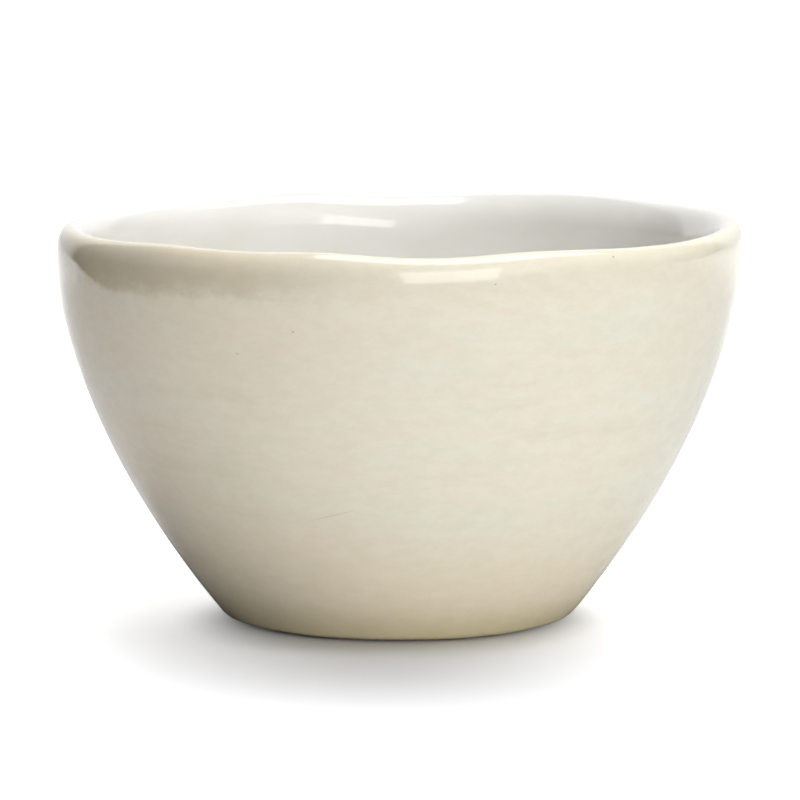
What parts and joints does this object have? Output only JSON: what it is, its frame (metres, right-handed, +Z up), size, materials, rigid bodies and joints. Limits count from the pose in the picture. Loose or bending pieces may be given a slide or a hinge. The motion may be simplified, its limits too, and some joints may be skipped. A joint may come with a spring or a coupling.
{
  "type": "prep bowl",
  "caption": "Small round thrown stoneware bowl with flaring walls, an uneven rolled lip and a bare foot ring, glazed sand outside and white inside, for holding prepared ingredients.",
  "frame": {"origin": "centre of the foot ring, on the table", "axes": "+Z up along the bowl's axis, -Y towards the viewer of the picture, +X to the viewer's right"},
  "size_m": [0.12, 0.12, 0.0697],
  "materials": {
    "stoneware": "bare fired clay, fine and slightly rough",
    "sand_glaze": "glossy sand-coloured glaze with faint brush streaks and pinholes",
    "white_glaze": "glossy warm white glaze"
  },
  "bodies": {
    "root": {"clay_body": "stoneware", "outer_glaze": "sand_glaze", "inner_glaze": "white_glaze", "base_glaze": "sand_glaze"}
  },
  "joints": []
}
